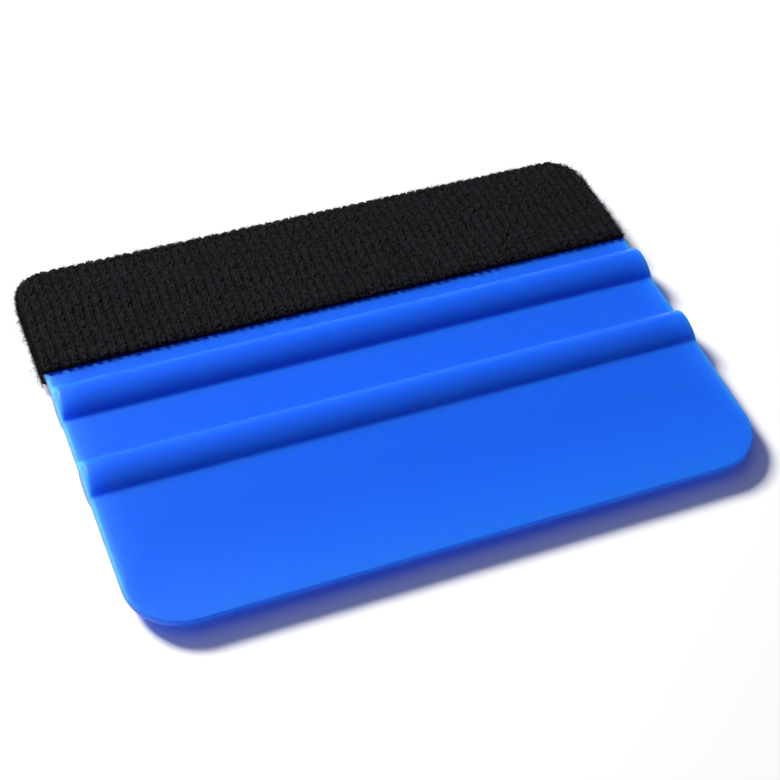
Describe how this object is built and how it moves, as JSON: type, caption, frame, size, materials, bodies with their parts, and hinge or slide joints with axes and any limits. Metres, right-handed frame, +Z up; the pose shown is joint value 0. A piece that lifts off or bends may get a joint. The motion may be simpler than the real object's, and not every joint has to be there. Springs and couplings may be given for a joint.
{
  "type": "squeegee applicator",
  "caption": "Flexible plastic hand squeegee card for smoothing adhesive film, with rounded grip ridges on both faces and a brushed knit band folded over a long edge.",
  "frame": {"origin": "centre of the plan outline, on the plane that the lower grip ridges rest on", "axes": "+X along the long edges, +Y from the bare working edge towards the fabric-covered edge, +Z up, square to the card"},
  "size_m": [0.1, 0.072, 0.0062],
  "materials": {
    "card_plastic": "satin moulded polypropylene, slightly translucent, bright blue",
    "tape_film": "clear pressure-sensitive adhesive film, slightly hazy",
    "band_knit": "black brushed knit with a short nap and fraying fibres at the cut ends"
  },
  "bodies": {
    "root": {"card": "card_plastic", "adhesive_film": "tape_film", "fabric_band": "band_knit"}
  },
  "joints": []
}
